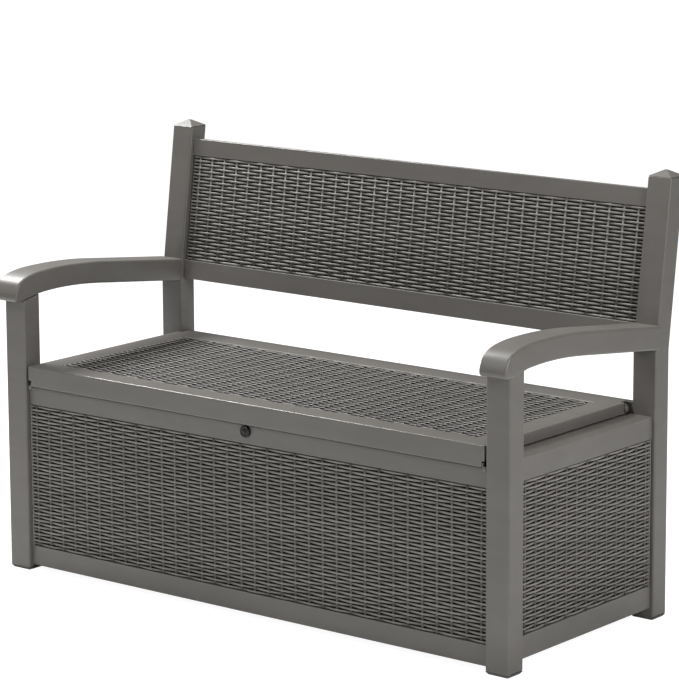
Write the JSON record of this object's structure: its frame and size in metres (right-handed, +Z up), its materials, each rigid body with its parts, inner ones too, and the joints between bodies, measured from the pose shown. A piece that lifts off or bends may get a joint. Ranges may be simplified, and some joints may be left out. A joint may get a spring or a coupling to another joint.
{
  "type": "storage bench",
  "caption": "Resin garden bench with a woven-look storage box, hinged seat lid, cam lock, leaning backrest and arched armrests.",
  "frame": {"origin": "middle of the whole bench's footprint, on the floor", "axes": "+X along the bench, +Y to the back, +Z up"},
  "size_m": [1.336, 0.6178, 0.9123],
  "materials": {
    "resin": "satin moulded resin, warm grey",
    "liner_resin": "dark moulded resin",
    "foot_resin": "dark moulded resin",
    "steel": "zinc-plated steel",
    "black_metal": "gloss black lacquer"
  },
  "bodies": {
    "base": {"back_panel": "resin", "back_panel_screw_lower_a": "steel", "back_panel_screw_lower_b": "steel", "back_panel_screw_upper_a": "steel", "back_panel_screw_upper_b": "steel", "backrest_panel": "resin", "backrest_screw_lower_left": "steel", "backrest_screw_lower_right": "steel", "backrest_screw_upper_left": "steel", "backrest_screw_upper_right": "steel", "floor_panel": "resin", "front_left_foot": "foot_resin", "front_left_post": "resin", "front_panel": "resin", "front_panel_screw_lower_a": "steel", "front_panel_screw_lower_b": "steel", "front_panel_screw_upper_a": "steel", "front_panel_screw_upper_b": "steel", "front_right_foot": "foot_resin", "front_right_post": "resin", "hinge_rod": "steel", "left_armrest": "resin", "left_armrest_screw": "steel", "left_rod_cap": "foot_resin", "left_side_panel": "resin", "left_side_panel_screw_lower_a": "steel", "left_side_panel_screw_lower_b": "steel", "left_side_panel_screw_upper_a": "steel", "left_side_panel_screw_upper_b": "steel", "lock_body": "black_metal", "lock_nut": "steel", "rear_left_foot": "foot_resin", "rear_left_post": "resin", "rear_left_post_cap": "resin", "rear_right_foot": "foot_resin", "rear_right_post": "resin", "rear_right_post_cap": "resin", "right_armrest": "resin", "right_armrest_screw": "steel", "right_rod_cap": "foot_resin", "right_side_panel": "resin", "right_side_panel_screw_lower_a": "steel", "right_side_panel_screw_lower_b": "steel", "right_side_panel_screw_upper_a": "steel", "right_side_panel_screw_upper_b": "steel"},
    "lid": {"lid_shell": "resin", "lid_liner": "liner_resin", "lock_catch": "steel", "catch_screw_inner": "steel", "catch_screw_outer": "steel"},
    "lock_cylinder": {"lock_plug": "black_metal", "lock_cam": "steel", "lock_cam_screw": "steel"}
  },
  "joints": [
    {"name": "lid_hinge", "type": "hinge", "parent": "base", "child": "lid", "pos_m": [0, 0.19911, 0.434], "axis": [-1, 0, 0], "range_deg": [0, 95]},
    {"name": "lock_turn", "type": "hinge", "parent": "base", "child": "lock_cylinder", "pos_m": [0, -0.26389, 0.3905], "axis": [0, 1, 0], "range_deg": [0, 90]}
  ]
}
